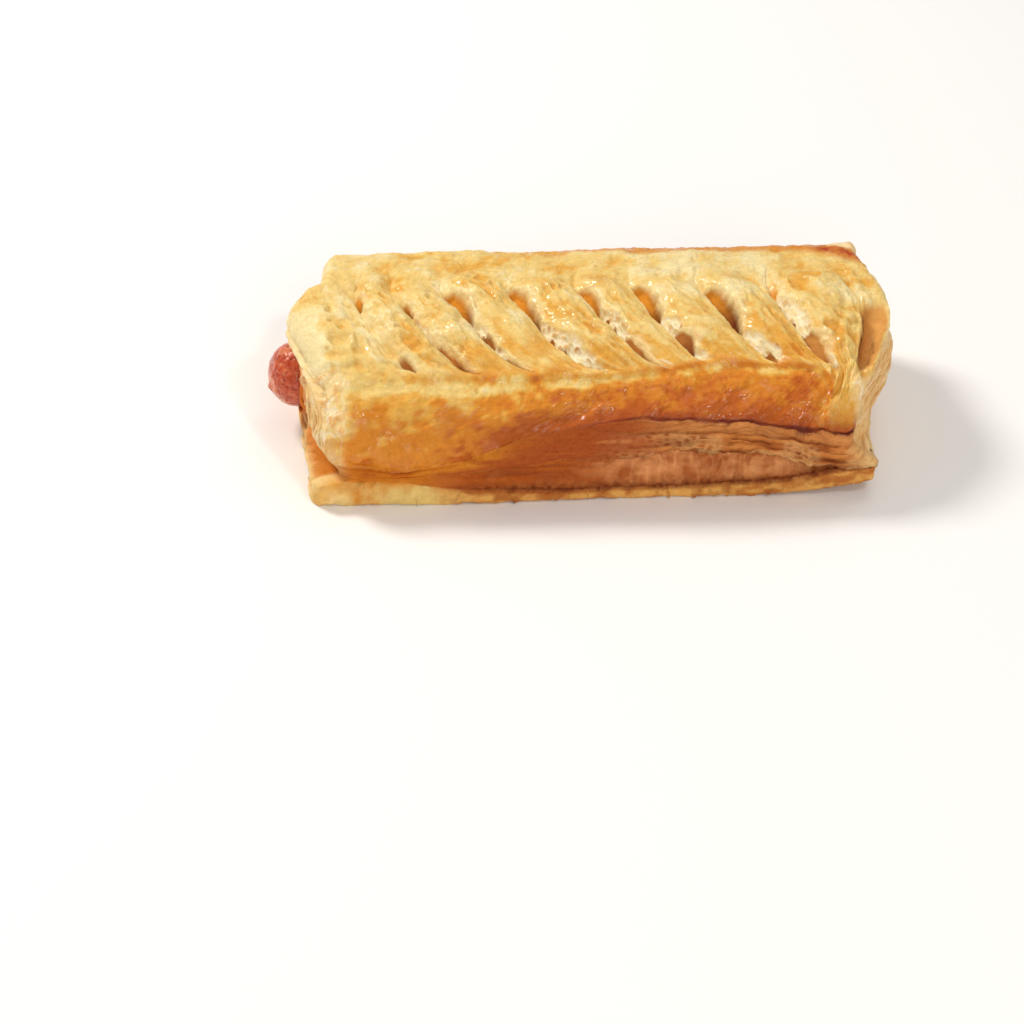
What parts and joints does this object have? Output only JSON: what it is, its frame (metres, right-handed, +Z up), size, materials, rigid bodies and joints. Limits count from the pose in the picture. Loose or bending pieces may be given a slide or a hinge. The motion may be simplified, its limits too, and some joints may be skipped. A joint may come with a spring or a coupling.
{
  "type": "sausage roll",
  "caption": "Whole baked sausage roll: a frankfurter in a long puff-pastry case with slanting slashes across its top, its tip showing at one end.",
  "frame": {"origin": "centre of the bounding box's underside, on the surface the roll rests on", "axes": "+X along the roll, away from the end where the sausage shows; -Y towards the roll's front side; +Z up"},
  "size_m": [0.196, 0.084, 0.0446],
  "materials": {
    "pastry": "baked, egg-washed crust, satin",
    "sausage": "cooked skin, glossy"
  },
  "bodies": {
    "root": {"pastry": "pastry", "sausage": "sausage"}
  },
  "joints": []
}
